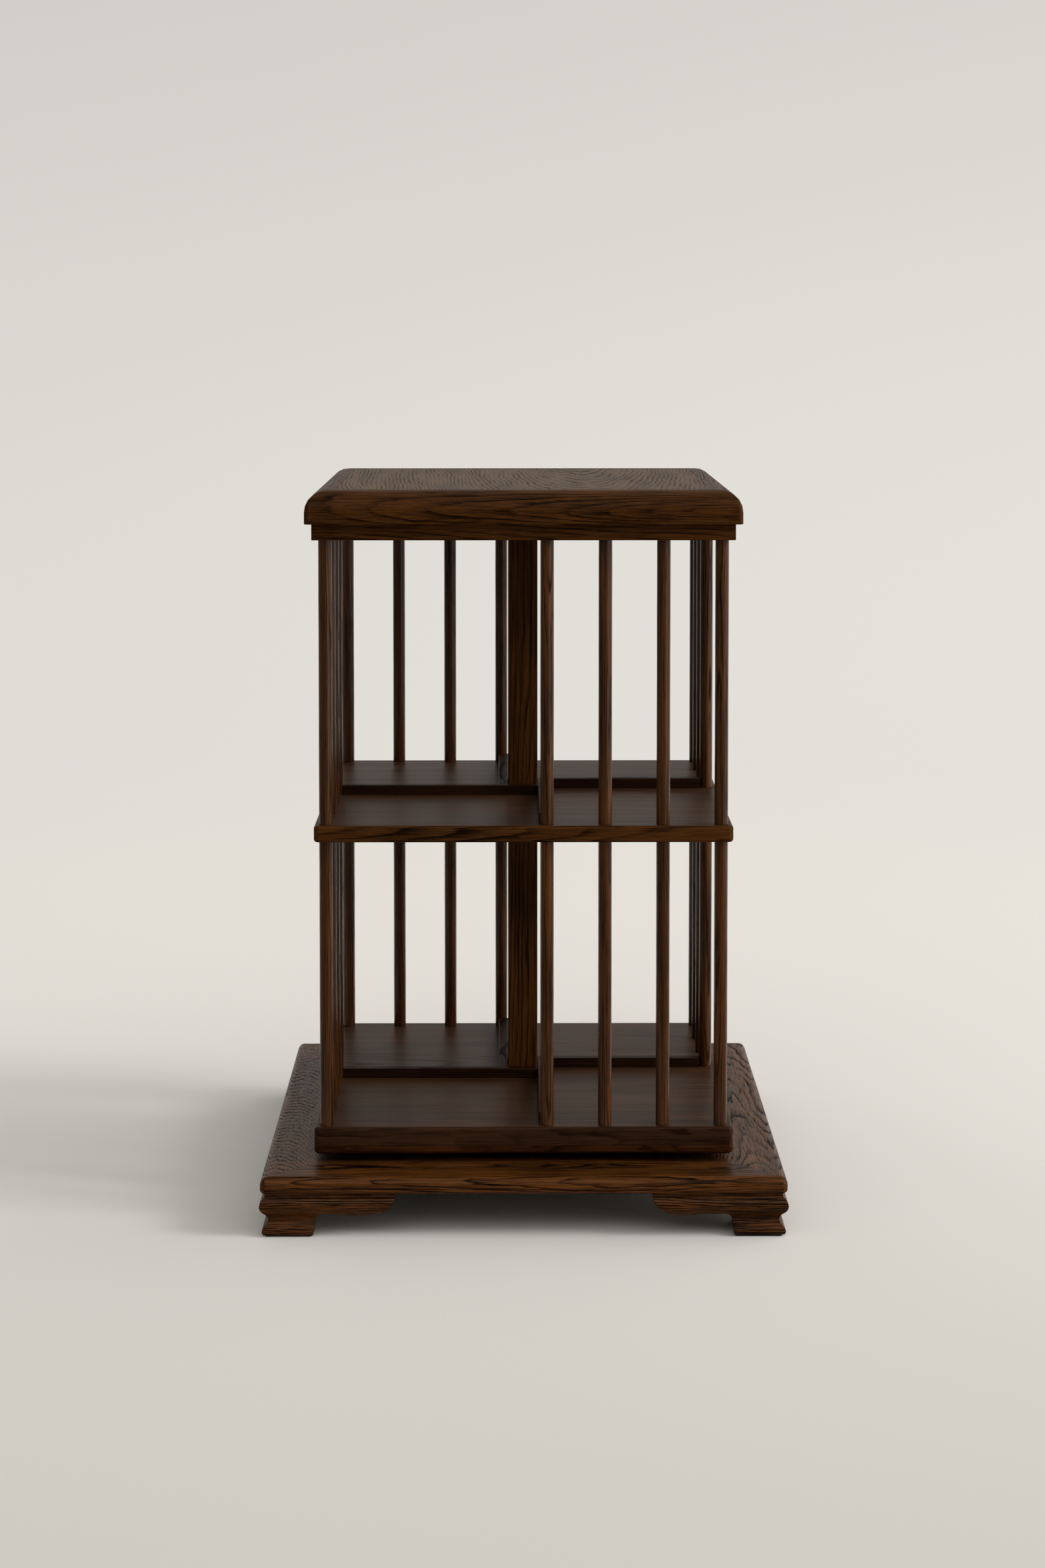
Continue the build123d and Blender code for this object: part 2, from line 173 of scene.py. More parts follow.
# %% [markdown]
# All the other nodes go through one method, which takes the kind of node, its settings and what
# its sockets hold. A socket can take a plain value or a link, and the method sees which it is. It
# could be written out for every node, but then the formula would be lost among the wires.


# %% A finish and its nodes
# the Mix node keeps a set of sockets for each kind of data, and these are its colour ones
MIX_SHARE, MIX_FIRST, MIX_SECOND, MIX_RESULT = 0, 6, 7, 2


class Finish:
    """A material, or the sky, that is built up from nodes and ends in one shader."""

    def __init__(self, name, owner=None):
        """A new material, or the world that owns the nodes, emptied of what it starts with."""
        self.material = owner or bpy.data.materials.new(name)
        self.material.use_nodes = True
        self.tree = self.material.node_tree
        self.tree.nodes.clear()

    def lay(self, kind, settings=None, sockets=None):
        """A node of one kind; its settings are made before its sockets get values or links."""
        node = self.tree.nodes.new(kind)
        for name, value in (settings or {}).items():
            setattr(node, name, value)
        for name, value in (sockets or {}).items():
            value = getattr(value, "socket", value)
            if isinstance(value, bpy.types.NodeSocket):
                self.tree.links.new(value, node.inputs[name])
            else:
                node.inputs[name].default_value = value
        return node

    def mix(self, share, first, second, blend="MIX"):
        """The first colour, going over to the second where share is 1."""
        settings = {"data_type": "RGBA", "blend_type": blend}
        sockets = {MIX_SHARE: share, MIX_FIRST: first, MIX_SECOND: second}
        return self.lay("ShaderNodeMix", settings, sockets).outputs[MIX_RESULT]

    def noise(self, place, stretch, shift=(0, 0, 0), detail=2.0, rough=0.5):
        """Cloudy noise from 0 to 1, whose lumps are 1 / stretch long in each direction."""
        sockets = {"Vector": place, "Scale": stretch, "Location": shift}
        placed = self.lay("ShaderNodeMapping", None, sockets).outputs[0]
        sockets = {"Vector": placed, "Scale": 1.0, "Detail": detail, "Roughness": rough}
        return Tone(self, self.lay("ShaderNodeTexNoise", None, sockets).outputs["Fac"])

    def relief(self, height, depth):
        """A bumped normal: height is 0 to 1, and depth is what 1 stands for, in metres."""
        sockets = {"Height": height, "Strength": 1.0, "Distance": depth}
        return self.lay("ShaderNodeBump", None, sockets).outputs[0]

    def surface(self, sockets):
        """The shader that all the nodes lead to."""
        shader = self.lay("ShaderNodeBsdfPrincipled", None, sockets)
        self.lay("ShaderNodeOutputMaterial", None, {"Surface": shader.outputs[0]})
        return self.material


# %% [markdown]
# Stained, open-grained hardwood: each year's ring starts with a band of wide pores, which drink
# the stain and go nearly black, and ends in dense paler wood. A wave texture could draw stripes,
# but real rings are circles round the heart of the log, so a board shows straight lines
# where it cuts them square, and nested arches where it lies along them. Each piece carries its
# place in its own log as an attribute called grain (along the trunk, and two distances from the
# heart), so one formula suits every piece.


# %% The rings
# how far the rings bend and waver, in metres, at a curl of 1
BEND = 0.008
WAVER = 0.0016


def pore_bands(wood, grain, ring_gap, curl):
    """Ring number = distance from the heart, bent by noise, over the gap between rings.

    The part of it after the point goes from 0 to 1 across each ring. The band is
    (1 - part) cubed behind a short rise, and bolder in some rings than in others.
    """
    log = wood.lay("ShaderNodeSeparateXYZ", None, {"Vector": grain})
    across, outward = (Tone(wood, log.outputs[i]) for i in (1, 2))
    # wide lumps of noise bend the rings, and small ones make them waver
    bend = wood.noise(grain, (4.0, 16.0, 16.0), detail=1.0) - 0.5
    waver = wood.noise(grain, (22.0, 130.0, 130.0), detail=2.0) - 0.5
    heart = (across * across + outward * outward) ** 0.5
    part = ((heart + bend * (BEND * curl) + waver * (WAVER * curl)) / ring_gap).fraction()
    bold = wood.noise(grain, (6.0, 70.0, 70.0), shift=(5, 2, 8), detail=1.0).ramp(0.35, 0.65)
    return (1.0 - part) ** 3.0 * part.ramp(0.0, 0.12) * (0.4 + 0.6 * bold)


print("rings bend by", BEND / 2 / mm, "mm and waver by", WAVER / 2 / mm, "mm each way at most")


# %% [markdown]
# The stain and the lacquer come over the rings. Long thin noise gives the fibres and the pores,
# and wide noise shades the board, because stain never takes evenly. The gloss is a coat over
# a matt ground, as lacquer is: a plain shiny ground would put a grey veil on such dark wood. The
# coat is thinner over the open grain, which the lacquer doesn't fill.


# %% The stained wood
# a lacquer is the weight, roughness and refractive index of its coat
SATIN = (0.8, 0.38, 1.15)
# how deep the open grain is, in metres, at a streak of 1
GRAIN_DEPTH = 0.00016


def stained_wood(name, pale, dark, lacquer=SATIN, ring_gap=0.0023, streak=1.0, curl=1.0):
    """Darkness = a middle tone + streak times (bands, pores, less the fibres) - clouds.

    The colour goes from pale to dark with it. Bands and pores also lower the surface and thin
    the coat. A higher streak makes the figure bolder, and a higher curl bends the rings more.
    """
    wood = Finish(name)
    grain = wood.lay("ShaderNodeAttribute", {"attribute_name": "grain"}).outputs["Vector"]
    band = pore_bands(wood, grain, ring_gap, curl)
    # each lump is far longer along the trunk than across it
    pore = wood.noise(grain, (38.0, 1100.0, 1100.0), detail=2.0, rough=0.55).ramp(0.5, 0.72)
    fibre = wood.noise(grain, (12.0, 700.0, 700.0), shift=(3, 1, 2), detail=3.0, rough=0.75)
    cloud = wood.noise(grain, (7.0, 45.0, 45.0), shift=(9, 4, 7), detail=2.0)
    darkness = 0.42 + (band * (0.75 + 0.3 * pore) + (0.5 - fibre) * 1.5 + pore * 0.1) * streak
    darkness = darkness + (0.5 - cloud) * 0.8
    open_grain = band * 0.8 + pore * (0.45 * streak)
    weight, rough, index = lacquer
    sockets = {
        "Base Color": wood.mix(darkness.ramp(0.0, 1.0), (*pale, 1), (*dark, 1)),
        "Roughness": 0.6 + 0.25 * pore,
        "Specular IOR Level": 0.0,
        "Coat Weight": weight * (1.0 - open_grain.ramp(0.0, 0.9)),
        "Coat Roughness": rough,
        "Coat IOR": index,
        "Normal": wood.relief(1.0 - 0.6 * band - 0.3 * pore, GRAIN_DEPTH * streak),
    }
    return wood.surface(sockets)


case_ash = stained_wood("case_ash", pale=(0.083, 0.0290, 0.0055), dark=(0.0080, 0.0032, 0.0010))
print("wood nodes", len(case_ash.node_tree.nodes))

# %% [markdown]
# Every wooden part here is a stack of rings: outlines with the same number of points, joined by
# faces and closed at both ends. Blender could bevel a box instead, but rings give the exact
# roundings of the CAD part and let each part have its own small easings.


# %% Rings into a mesh
SHARPEST_SMOOTH = math.radians(35)


def skin(name, rings, closed=True):
    """Quads join point j of ring i to its neighbours in the ring and in ring i + 1.

    One more face fills the first ring, and another the last ring of a closed piece.
    """
    count, around = rings.shape[:2]
    index = np.arange(count * around).reshape(count, around)
    low, high = index[:-1], index[1:]
    corners = (low, np.roll(low, -1, 1), np.roll(high, -1, 1), high)
    faces = np.stack(corners, axis=-1).reshape(-1, 4).tolist()
    faces.append(index[0, ::-1].tolist())
    if closed:
        faces.append(index[-1].tolist())
    mesh = bpy.data.meshes.new(name)
    mesh.from_pydata(rings.reshape(-1, 3).tolist(), [], faces)
    if closed and volume(mesh) < 0:
        mesh.flip_normals()
    mesh.shade_smooth()
    mesh.set_sharp_from_angle(angle=SHARPEST_SMOOTH)
    piece = bpy.data.objects.new(name, mesh)
    bpy.context.scene.collection.objects.link(piece)
    return piece


def volume(mesh):
    """The sum of a x b . c / 6 over the triangles; it is below zero where faces point inwards."""
    mesh.calc_loop_triangles()
    corners = np.empty(3 * len(mesh.loop_triangles), np.int32)
    mesh.loop_triangles.foreach_get("vertices", corners)
    a, b, c = points_of(mesh)[corners].reshape(-1, 3, 3).transpose(1, 0, 2)
    return float(np.einsum("ij,ij->", np.cross(a, b), c)) / 6


def points_of(mesh):
    """The vertices of a mesh as an array of three columns."""
    flat = np.empty(3 * len(mesh.vertices))
    mesh.vertices.foreach_get("co", flat)
    return flat.reshape(-1, 3)


print("edges stay sharp above", round(math.degrees(SHARPEST_SMOOTH)), "degrees")


# %% [markdown]
# The bookcase is the same on all four sides, so each part is worked out for the front and turned.
# The object could be turned instead, but then a pattern that follows its own axes would turn with
# it. So the points are turned, and the object stays put.


# %% Turning for each side
def turned(points, side):
    """The front's points carried round the axis by a quarter turn for each side.

    x' = x cos - y sin and y' = x sin + y cos, for 0, 1, 2 or 3 quarter turns.
    """
    cosine = (1, 0, -1, 0)[side]
    sine = (0, 1, 0, -1)[side]
    x, y, z = np.moveaxis(np.asarray(points, float), -1, 0)
    return np.stack((x * cosine - y * sine, x * sine + y * cosine, z), axis=-1)


for side, side_name in enumerate(SIDES):
    print("outwards from the", side_name, turned((0, -1, 0), side))

# %% [markdown]
# A real board's figure depends on where it was sawn from the log. A UV map could lay a flat picture
# on it, which shows at the edges, where the grain should turn the corner. Instead each vertex
# is given its place in a log, and the rings run through the piece as they do in wood.


# %% A place in the log
def lay_grain(piece, along, show, depth, aside=0.0, lean=0.0, start=0.0, bow=0.0, knot=0.0):
    """Place in the log: (start + u, aside + v, depth + w + lean u + bow (u - knot)^2).

    All are taken about the piece's middle, whose distance from the heart is depth and aside. There
    u runs along the grain, w towards the show face, and v across both. A lean gives arches that
    point one way, and a bow gives closed ovals.
    """
    points = points_of(piece.data)
    local = points - (points.min(axis=0) + points.max(axis=0)) / 2
    along = np.asarray(along, float)
    show = np.asarray(show, float)
    u = local @ along
    v = local @ np.cross(show, along)
    w = local @ show
    deep = depth + w + lean * u + bow * (u - knot) ** 2
    log = np.stack((start + u, aside + v, deep), axis=-1)
    grain = piece.data.attributes.new("grain", "FLOAT_VECTOR", "POINT")
    grain.data.foreach_set("vector", log.ravel())


# %% [markdown]
# Last, a part takes over from its CAD node. Smooth shading alone would make the flats look
# puffed up beside their rounded edges. A bevel with many more faces would cure that, but a weighted
# normal does it with none: it lets the large flat faces decide the shading.


# %% Fitting a part to its node
def fit(piece, node, finish):
    """The piece takes the CAD node's place and body, and gets its finish."""
    piece.data.materials.append(finish)
    steady = piece.modifiers.new("flat_faces", "WEIGHTED_NORMAL")
    steady.keep_sharp = True
    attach(piece, frame["nodes"][node]["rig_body"])
    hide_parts(node)


# %% [markdown]
# Boards, the post and the battens are planed boxes with their edges eased by sandpaper. A cube
# with a Bevel modifier comes near, but it rounds every edge alike, and on a shelf the upper
# edge is often rounder than the lower one. So a box is a stack of level outlines, each drawn in
# by its easing: quarter circles below and above.


# %% Boards
def eased(low, high, below, above, steps=4):
    """Levels and insets of an upright edge: a quarter circle, a straight, a quarter circle."""
    turn = np.linspace(0, np.pi / 2, steps)
    levels = np.r_[low + below * (1 - np.cos(turn)), high - above * (1 - np.sin(turn))]
    insets = np.r_[below * (1 - np.sin(turn)), above * (1 - np.cos(turn))]
    return levels, insets


def outline(x0, x1, y0, y1, corner, steps=4):
    """A rectangle with quarter-circle corners, anticlockwise; corner may be an array of radii."""
    corner = np.asarray(corner, float).reshape(-1, 1)
    quarter = np.linspace(0, np.pi / 2, steps)
    angle = (quarter + np.pi / 2 * np.arange(4)[:, None]).ravel()
    right = np.repeat([1, 0, 0, 1], steps)
    far = np.repeat([1, 1, 0, 0], steps)
    x = np.where(right, x1 - corner, x0 + corner) + corner * np.cos(angle)
    y = np.where(far, y1 - corner, y0 + corner) + corner * np.sin(angle)
    return x, y


def board(name, lowest, highest, corner, below, above, side=0, least=0.2 * mm):
    """A box between two corners, given as the front's: outlines drawn in by the eased edge.

    A corner's radius shrinks by as much as its outline is drawn in, and never under the least.
    """
    x0, y0, z0 = lowest
    x1, y1, z1 = highest
    levels, insets = eased(z0, z1, below, above)
    inset = insets[:, None]
    radius = np.maximum(corner - insets, least)
    x, y = outline(x0 + inset, x1 - inset, y0 + inset, y1 - inset, radius)
    z = np.broadcast_to(levels[:, None], x.shape)
    return skin(name, turned(np.stack((x, y, z), axis=-1), side))


levels, insets = eased(0, 16, 3, 3)
print("a 16 mm edge: levels", levels.round(2), "insets", insets.round(2))

# %% [markdown]
# The shelves, the base and the top are edged with strips that meet in mitres. A strip could be
# cut from a board with a Boolean at each end. Here it is a section carried along one side and
# turned by an eighth of a circle at each end, so that it meets its neighbour on the
# diagonal and the corner is round. At the joint the section is drawn in by a hair, because real
# mitres are eased there and show a fine line.


# %% Mitred strips
def section(half, width, low, high, below, above, steps=6):
    """A strip's outline as (distance from the axis, level), from its inner foot round outwards."""
    levels, insets = eased(low, high, below, above, steps)
    inner = half - width
    outward = np.r_[inner, half - insets, inner]
    return np.stack((outward, np.r_[low, levels, high]), axis=-1)


def mitred(name, shape, half, corner, side, seam=0.25 * mm, least=0.4 * mm, arc=5, run=6):
    """The section carried from mitre to mitre: arc, straight run, arc, all about the same corner.

    A point at distance d from the axis turns on a radius of corner - (half - d), or the least.
    At both mitres the radius is shorter by the seam, but for the inner foot of the section.
    """
    d, z = shape.T
    radius = np.maximum(corner - (half - d), least)
    eighth = np.linspace(0, np.pi / 4, arc)
    outwards = 3 * np.pi / 2
    angle = np.r_[outwards - np.pi / 4 + eighth, np.full(run, outwards), outwards + eighth]
    hand = np.r_[-np.ones(arc), np.linspace(-1, 1, run + 2)[1:-1], np.ones(arc)]
    pull = np.r_[seam, np.zeros(angle.size - 2), seam]
    shown = d > d.min() + 0.001 * mm
    reach = d - radius
    r = radius - pull[:, None] * shown
    x = hand[:, None] * reach + r * np.cos(angle)[:, None]
    y = -reach + r * np.sin(angle)[:, None]
    level = np.broadcast_to(z, x.shape)
    return skin(name, turned(np.stack((x, y, level), axis=-1), side))


print("a strip's section has", len(section(200, 20, 0, 16, 3, 3)), "points")


# %% [markdown]
# The base's wood is redder and bolder than the case's: the stain sits deep in its pores and the
# lacquer is thicker. It could be the same finish with another colour, but its rings are
# closer and more bent too, so it gets its own numbers in the same formula.

# %% The base's finish
base_ash = stained_wood(
    "base_ash",
    pale=(0.116, 0.0395, 0.0078),
    dark=(0.005, 0.0022, 0.0008),
    lacquer=(0.95, 0.34, 1.19),
    ring_gap=0.0018,
    streak=1.4,
    curl=1.6,
)
print("base finish", base_ash.name)

# %% [markdown]
# The base is four moulded rails, mitred at the corners. Seen from above they differ in figure:
# straight lines in front and behind, arches on the right, and lines that cross the rail
# slantwise on the left. Four finishes could give that, but it is one wood, and the figure only
# tells where in the log a rail was sawn. So the rails share a finish, and each has its own
# distance from the heart, distance aside and lean. The show face is the top.

# %% Base rails
rng = np.random.default_rng(11)
low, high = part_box("base_rail_front")
base_half = -low.y
slab_bottom = low.z
slab_top = high.z
rail_shape = section(base_half, 80 * mm, slab_bottom, slab_top, below=3.5 * mm, above=8.5 * mm)
# depth, aside and lean of the front, right, back and left rail, as lay_grain takes them
RAIL_FIGURES = (
    (0.022, 0.005, 0.020),
    (0.050, 0.012, 0.038),
    (0.022, -0.010, 0.030),
    (0.070, 0.026, -0.150),
)
for side, side_name in enumerate(SIDES):
    rail = mitred(f"rail_{side_name}", rail_shape, base_half, 6 * mm, side)
    along = turned((1, 0, 0), side)
    depth, aside, lean = RAIL_FIGURES[side]
    aside = aside + rng.uniform(-0.004, 0.004)
    lay_grain(rail, along, (0, 0, 1), depth, aside, lean, start=rng.uniform(0, 9))
    fit(rail, f"base_rail_{side_name}", base_ash)
print("base half width", round(base_half, 4), "slab", round(slab_bottom, 4), round(slab_top, 4))

# %% [markdown]
# Bracket feet are moulded boards, sawn to a curved outline and mitred at the corner. The moulding
# has a bulge above and a hollow at the ankle. A Boolean could cut the outline out of a moulded
# bar, but it leaves ragged faces. So the outline and the moulding are each one function:
# the surface runs along the sawn edge in columns, and each column rises to the base.


# %% The bracket's sawn edge
def sawn_edge():
    """Points (distance from the corner, level) along the lower edge, in metres.

    The toe is straight and ends in a quarter circle, the ankle is straight, and the shoulder
    is a parabola over its chord. After a flat, the dip falls as s^2 (3 - 2 s), and nearly a quarter
    of an ellipse swings up to the base. The drawing's numbers are millimetres.
    """
    pad_top = 1.5
    toe = np.stack((np.linspace(0, 48.7, 14), np.full(14, pad_top)), axis=-1)
    heel_middle = (49.7, 2.5)
    turn = np.linspace(0, np.pi / 2, 5)[1:]
    heel = np.stack((heel_middle[0] + np.sin(turn), heel_middle[1] - np.cos(turn)), axis=-1)
    ankle_top = np.array((51.9, 15.35))
    ankle = np.linspace((50.8, 3.5), ankle_top, 5)
    chord = np.array((11.5, 5.75))
    swell = 2.5
    share = np.linspace(0, 1, 9)[1:, None]
    square_on = np.array((-chord[1], chord[0])) / np.hypot(*chord)
    shoulder = ankle_top + chord * share + 4 * swell * share * (1 - share) * square_on
    flat_level = 21.1
    flat_end = 77.4
    flat = np.stack((np.linspace(65, flat_end, 5), np.full(5, flat_level)), axis=-1)
    s = np.linspace(0, 1, 9)[1:]
    dip_length, dip_fall = 19, 1.8
    fall = dip_fall * s**2 * (3 - 2 * s)
    dip = np.stack((flat_end + dip_length * s, flat_level - fall), axis=-1)
    swing = np.radians(np.linspace(0, 87, 15))[1:]
    wing_width, wing_height = 32.1, 22.2
    wing_middle = (flat_end + dip_length, flat_level - dip_fall + wing_height)
    wing_x = wing_middle[0] + wing_width * np.sin(swing)
    wing = np.stack((wing_x, wing_middle[1] - wing_height * np.cos(swing)), axis=-1)
    return np.concatenate((toe, heel, ankle, shoulder, flat, dip, wing)) * mm


print("sawn edge", len(sawn_edge()), "points, ending at", sawn_edge()[-1].round(4))

# %% [markdown]
# Such a moulding is cut along the whole board before the outline is sawn, so its face depends on
# the level alone. It could be a curve drawn by hand. Three arcs and a straight neck are easier
# to check against the CAD part, and they give the same face.


# %% The bracket's moulding
def between(level, high, low):
    """A parabola that is 0 at both levels and 1 midway."""
    return 4 * (high - level) * (level - low) / (high - low) ** 2


def moulding_face(level):
    """How far the bracket's face stands out from the base's side at a level, in metres.

    A shallow arc bulges out between the neck and the waist, a smaller one hollows the ankle, and
    a third swells at the toe, where the face also slopes out. Each arc is a parabola.
    """
    z = level / mm
    neck_foot, bulge_foot, ankle_foot, pad_top = 38.2, 21.3, 9.9, 1.5
    neck = -4.4
    bulge = neck + 4.9 * between(z, neck_foot, bulge_foot)
    ankle = neck - 3.2 * between(z, bulge_foot, ankle_foot)
    slope = 0.9 * (ankle_foot - z) / (ankle_foot - pad_top)
    toe = neck + slope + 2.075 * between(z, ankle_foot, pad_top)
    zones = (z > neck_foot, z > bulge_foot, z > ankle_foot)
    return np.select(zones, (neck, bulge, ankle), toe) * mm


levels = np.array((40, 30, 15, 5)) * mm
print("moulding at", levels, "stands out", moulding_face(levels).round(4))

# %% [markdown]
# A foot is two such boards. Each could be a flat shape with some thickness, but a real foot is
# mitred: the boards meet on the diagonal, in front and behind. So the columns start on the mitre
# and close up along the sawn edge, and the edge itself gets a small arris that catches the light.


# %% Bracket feet
ARRIS = 0.9 * mm
THICKNESS = 20 * mm
MITRE_REACH = 12 * mm


def bracket(name, side, handed):
    """Rings across the board: back face, underside, a rounded arris, then up the moulded face.

    The face's overhang moves points outwards, and near the mitre sideways too. The back's points
    slide along by u^2 / 4t near the mitre, and by u - t beyond 2t, where t is the thickness.
    """
    # inward is square to the sawn edge, into the board
    edge = sawn_edge()
    run = np.gradient(edge, axis=0)
    inward = np.stack((-run[:, 1], run[:, 0]), axis=-1)
    inward = inward / np.linalg.norm(inward, axis=1)[:, None]

    # the front: each column goes round the arris and then straight up to the base
    phi = np.linspace(0, np.pi / 2, 4)
    lift = ARRIS * (1 - np.cos(phi))
    rise = np.linspace(0, 1, 34)[1:]
    start = edge + inward * ARRIS
    climb = start[:, 1:] + (slab_bottom - start[:, 1:]) * rise
    u = np.c_[edge[:, :1] + inward[:, :1] * lift, np.repeat(start[:, :1], rise.size, axis=1)]
    z = np.c_[edge[:, 1:] + inward[:, 1:] * lift, climb]
    tuck = np.r_[ARRIS * (1 - np.sin(phi)), np.zeros(rise.size)]
    out = moulding_face(z) - tuck
    near_mitre = np.clip(1 - u / MITRE_REACH, 0, 1)
    face = np.stack((-base_half + u - out * near_mitre, -base_half - out, z), axis=-1)

    # the back: flat, and drawn in along the mitre
    u_back = edge[:, 0]
    curved = u_back**2 / (4 * THICKNESS)
    slide = np.where(u_back < 2 * THICKNESS, curved, u_back - THICKNESS)
    x_back = -base_half + THICKNESS + slide
    y_back = np.full_like(x_back, -base_half + THICKNESS)
    back_low = np.stack((x_back, y_back, edge[:, 1]), axis=-1)[:, None]
    back_high = np.stack((x_back, y_back, np.full_like(x_back, slab_bottom)), axis=-1)[:, None]
    rings = np.concatenate((back_high, back_low, face), axis=1)
    rings[..., 0] *= handed
    return skin(name, turned(rings, side))


for side, side_name in enumerate(SIDES):
    for handed, hand_name in ((1, "left"), (-1, "right")):
        foot = bracket(f"foot_{side_name}_{hand_name}", side, handed)
        along = turned((1, 0, 0), side)
        show = turned((0, -1, 0), side)
        aside = rng.uniform(0.03, 0.05)
        lay_grain(foot, along, show, 0.012, aside, lean=0.04, start=rng.uniform(0, 9))
        fit(foot, f"{side_name}_bracket_{hand_name}", base_ash)
print("bracket vertices", len(foot.data.vertices))

# %% [markdown]
# The thin edges of the bottom board are closer-ringed and greyer than the rest of the case, and the
# skirt under them is redder: partly its stain, and partly painted warm light, bounced up from the
# base below it. One finish for both could save a few lines, but the line between two boards is a
# thing that the eye looks for, and it comes from just this difference.

# %% The bottom's finishes
board_ash = stained_wood(
    "board_ash",
    pale=(0.050, 0.0200, 0.0075),
    dark=(0.010, 0.0042, 0.0022),
    ring_gap=0.0017,
    streak=0.8,
    curl=1.7,
)
# redder than the board: partly its stain, and partly painted warm light bounced up from the base
skirt_ash_stain_and_painted_bounce = stained_wood(
    "skirt_ash_stain_and_painted_bounce",
    pale=(0.066, 0.0195, 0.0048),
    dark=(0.011, 0.0036, 0.0014),
    ring_gap=0.0017,
    streak=0.8,
    curl=1.7,
)
print("bottom finishes", board_ash.name, skirt_ash_stain_and_painted_bounce.name)

# %% [markdown]
# The skirt hides the swivel, the lippings cover the edges of the veneered shelves, and the top
# mouldings frame the top. All are strips with mitred corners. Each could be modelled alone,
# but only the section differs: the skirt is rounded below, the middle lipping on both edges, and
# the top moulding has a large quarter round. Where four strips share one CAD node, all four
# replace it.


# %% Strips of the case
CASE_CORNER = 5 * mm


def edging(label, node, finish, width, below, above, depth, lean, own_node=False):
    """Four mitred strips round a CAD node, to its own height and half width."""
    low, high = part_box(f"{node}_front" if own_node else node)
    half = -low.y
    shape = section(half, width, low.z, high.z, below, above)
    for side, side_name in enumerate(SIDES):
        strip = mitred(f"{label}_{side_name}", shape, half, CASE_CORNER, side)
        along = turned((1, 0, 0), side)
        show = turned((0, -1, 0), side)
        start = rng.uniform(0, 9)
        aside = rng.uniform(-0.006, 0.004)
        lay_grain(strip, along, show, depth, aside, lean, start)
        fit(strip, f"{node}_{side_name}" if own_node else node, finish)
    print(label, "half", round(half, 4), "levels", round(low.z, 4), round(high.z, 4))


edging(
    "skirt", "bottom_skirt", skirt_ash_stain_and_painted_bounce,
    width=40 * mm, below=4 * mm, above=0.6 * mm, depth=0.05, lean=0.015,
)
edging(
    "bottom_lipping", "bottom_lippings", board_ash,
    width=4.5 * mm, below=0.7 * mm, above=3 * mm, depth=0.05, lean=0.015,
)
edging(
    "middle_lipping", "middle_lippings", case_ash,
    width=4.5 * mm, below=3 * mm, above=3 * mm, depth=0.02, lean=0.03,
)
edging(
    "top_moulding", "top_moulding", case_ash,
    width=28 * mm, below=0.5 * mm, above=21 * mm, depth=-0.003, lean=-0.045, own_node=True,
)

# %% [markdown]
# The panels are veneered boards that lie inside these strips, flush with them. Only their top faces
# and undersides show. A plane would do for what the camera sees, but it would have no
# underside. The top's veneer was cut through the crown of the log and shows closed ovals,
# which the bow gives. The shelves' veneer is plain, so its rings are wide and faint.

# %% Panels
top_veneer = stained_wood(
    "top_veneer",
    pale=(0.105, 0.053, 0.020),
    dark=(0.018, 0.009, 0.0035),
    lacquer=(0.85, 0.45, 1.2),
    ring_gap=0.0038,
    streak=0.85,
    curl=2.2,
)
shelf_veneer = stained_wood(
    "shelf_veneer",
    pale=(0.060, 0.0275, 0.013),
    dark=(0.014, 0.007, 0.0038),
    lacquer=(0.8, 0.40, 1.2),
    ring_gap=0.005,
    streak=0.12,
)
PANELS = (
    ("top_panel", top_veneer, (0, 1, 0), dict(depth=0.012, aside=0.06, bow=1.0, knot=0.045)),
    ("middle_shelf", shelf_veneer, (1, 0, 0), dict(depth=0.03, aside=0.01, lean=0.05)),
    ("bottom_shelf", shelf_veneer, (1, 0, 0), dict(depth=0.04, aside=-0.03, lean=0.05)),
)
for node, finish, along, figure in PANELS:
    low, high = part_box(node)
    panel = board(f"{node}_board", low, high, corner=0.3 * mm, below=0.1 * mm, above=0.3 * mm)
    lay_grain(panel, along, (0, 0, 1), start=rng.uniform(0, 9), **figure)
    fit(panel, node, finish)
    print(node, [round(v / mm, 1) for v in (*low, *high)])

# %% [markdown]
# The frieze board takes the spindles' upper ends. As one box it would show end grain on two sides,
# where the real one shows long grain all round. So it is four thin mitred strips round a plain
# middle, all in place of the one CAD board.

# %% Frieze
STRIP_WIDTH = 12 * mm
low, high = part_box("frieze_board")
frieze_half = -low.y
shape = section(frieze_half, STRIP_WIDTH, low.z, high.z, below=0.8 * mm, above=0.3 * mm)
for side, side_name in enumerate(SIDES):
    strip = mitred(f"frieze_{side_name}", shape, frieze_half, 0.8 * mm, side)
    along = turned((1, 0, 0), side)
    show = turned((0, -1, 0), side)
    lay_grain(strip, along, show, depth=0.03, aside=0.02, lean=0.03, start=side)
    fit(strip, "frieze_board", case_ash)
inner = frieze_half - STRIP_WIDTH
lowest = (-inner, -inner, low.z)
highest = (inner, inner, high.z)
middle = board("frieze_middle", lowest, highest, corner=0.3 * mm, below=0.1 * mm, above=0.1 * mm)
lay_grain(middle, (1, 0, 0), (0, 0, 1), depth=0.04, aside=0.02, lean=0.03, start=4.0)
fit(middle, "frieze_board", shelf_veneer)
print("frieze half", round(frieze_half, 4))

# %% [markdown]
# The post stands in the middle, from the bottom shelf to the frieze, and ties the case together.
# Battens of ten millimetres lie round it on each shelf like a pinwheel, and stop the books. An
# Array modifier could repeat them, but each is its own piece of wood, so each gets its own
# place in the log. Their grain runs along them, and their lacquer is thin and dull.

# %% Post and battens
low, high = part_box("centre_post")
post = board("post", low, high, corner=0.8 * mm, below=0.1 * mm, above=0.1 * mm)
lay_grain(post, (0, 0, 1), (0, -1, 0), depth=0.05, aside=0.03, lean=0.01, start=2.0)
fit(post, "centre_post", case_ash)
print("post", [round(v / mm, 1) for v in (*low, *high)])
